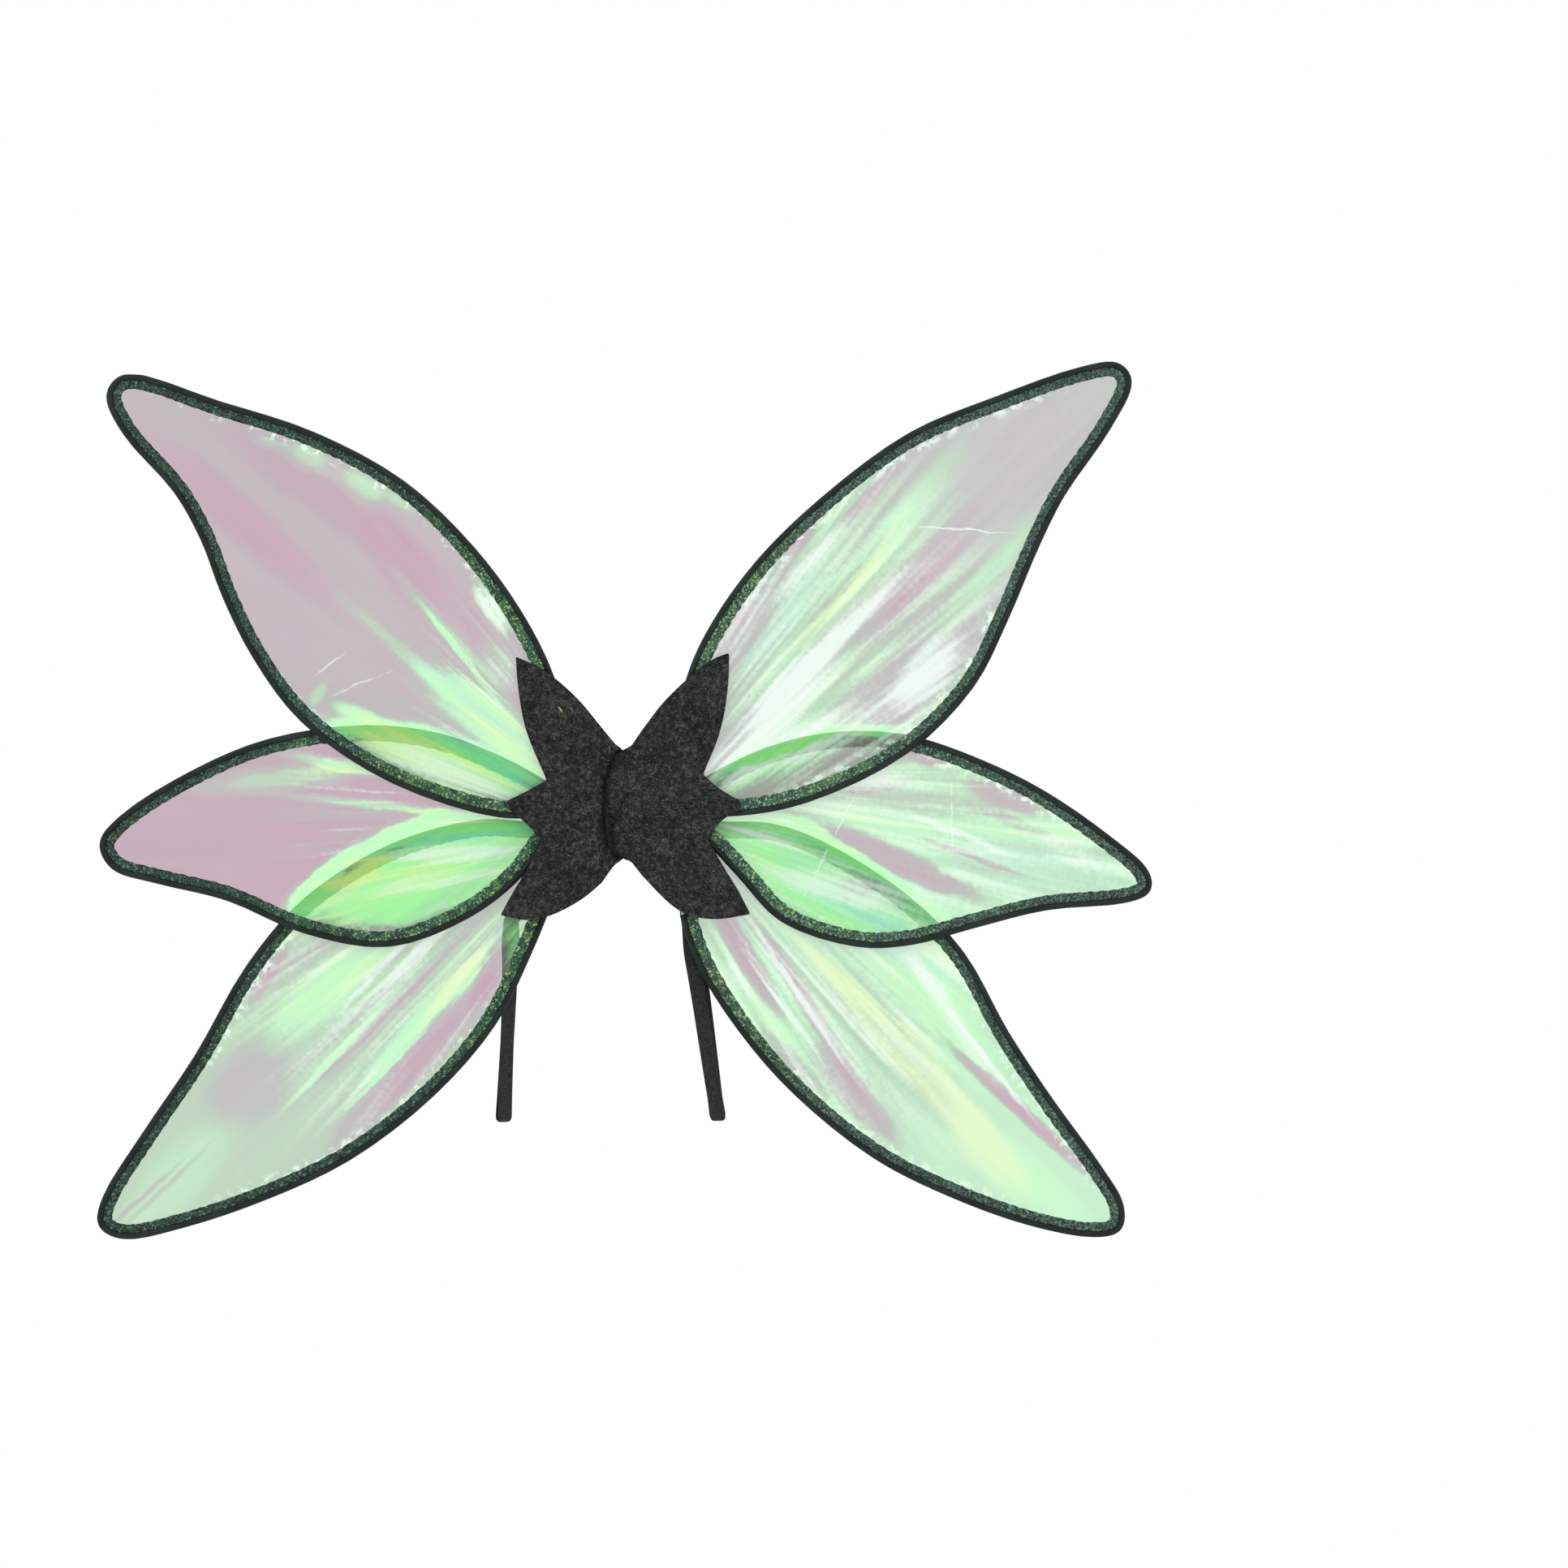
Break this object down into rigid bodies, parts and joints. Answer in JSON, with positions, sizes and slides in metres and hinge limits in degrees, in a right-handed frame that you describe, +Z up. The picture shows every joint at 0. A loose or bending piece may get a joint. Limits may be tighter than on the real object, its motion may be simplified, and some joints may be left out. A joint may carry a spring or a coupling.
{
  "type": "fairy wings",
  "caption": "Child's wearable fairy wings: wire petals in shimmering film, a black felt middle and elastic shoulder loops.",
  "frame": {"origin": "middle of the face of the back felt that rests on the wearer's back, at the waist", "axes": "+X towards the wings' right tip seen from the decorated front, +Y towards the wearer, +Z up"},
  "size_m": [0.5484, 0.0201, 0.4558],
  "materials": {
    "frame_wire": "bright drawn",
    "dark_sleeve": "satin knit tube, near black with a green sheen",
    "gathered_hem": "gathered iridescent emerald",
    "shimmer_film": "sheer iridescent film, pink to mint, glossy",
    "glitter_felt": "black felt with fine glitter",
    "plain_felt": "matt black felt",
    "cloth_tape": "white cotton cloth tape",
    "hot_glue": "translucent hot-melt glue",
    "black_elastic": "ribbed woven elastic",
    "stitch_thread": "polyester thread"
  },
  "bodies": {
    "spine": {"waist_front": "glitter_felt", "waist_core": "plain_felt", "waist_back": "plain_felt"},
    "left_wing": {"wire_upper_left": "frame_wire", "wire_middle_left": "frame_wire", "wire_lower_left": "frame_wire", "sleeve_upper_left": "dark_sleeve", "sleeve_middle_left": "dark_sleeve", "sleeve_lower_left": "dark_sleeve", "film_upper_left": "shimmer_film", "film_middle_left": "shimmer_film", "film_lower_left": "shimmer_film", "hem_upper_left": "gathered_hem", "hem_middle_left": "gathered_hem", "hem_lower_left": "gathered_hem", "root_tape_left": "cloth_tape", "glue_pads_left": "hot_glue", "front_felt_left": "glitter_felt", "back_felt_left": "plain_felt", "strap_run_left": "black_elastic", "strap_tab_left": "black_elastic", "strap_tacks_left": "stitch_thread"},
    "left_strap": {"strap_loop_left": "black_elastic"},
    "right_wing": {"wire_upper_right": "frame_wire", "wire_middle_right": "frame_wire", "wire_lower_right": "frame_wire", "sleeve_upper_right": "dark_sleeve", "sleeve_middle_right": "dark_sleeve", "sleeve_lower_right": "dark_sleeve", "film_upper_right": "shimmer_film", "film_middle_right": "shimmer_film", "film_lower_right": "shimmer_film", "hem_upper_right": "gathered_hem", "hem_middle_right": "gathered_hem", "hem_lower_right": "gathered_hem", "root_tape_right": "cloth_tape", "glue_pads_right": "hot_glue", "front_felt_right": "glitter_felt", "back_felt_right": "plain_felt", "strap_run_right": "black_elastic", "strap_tab_right": "black_elastic", "strap_tacks_right": "stitch_thread"},
    "right_strap": {"strap_loop_right": "black_elastic"}
  },
  "joints": [
    {"name": "left_fold", "type": "hinge", "parent": "spine", "child": "left_wing", "pos_m": [-0.01, -0.0156, 0], "axis": [0, 0, 1], "range_deg": [-10, 85]},
    {"name": "right_fold", "type": "hinge", "parent": "spine", "child": "right_wing", "pos_m": [0.01, -0.0156, 0], "axis": [0, 0, -1], "range_deg": [-10, 85]},
    {"name": "left_strap_swing", "type": "hinge", "parent": "left_wing", "child": "left_strap", "pos_m": [-0.058, 0.0014, -0.063], "axis": [1, 0, 0], "range_deg": [0, 90]},
    {"name": "right_strap_swing", "type": "hinge", "parent": "right_wing", "child": "right_strap", "pos_m": [0.0345, 0.0014, -0.063], "axis": [1, 0, 0], "range_deg": [0, 90]}
  ]
}
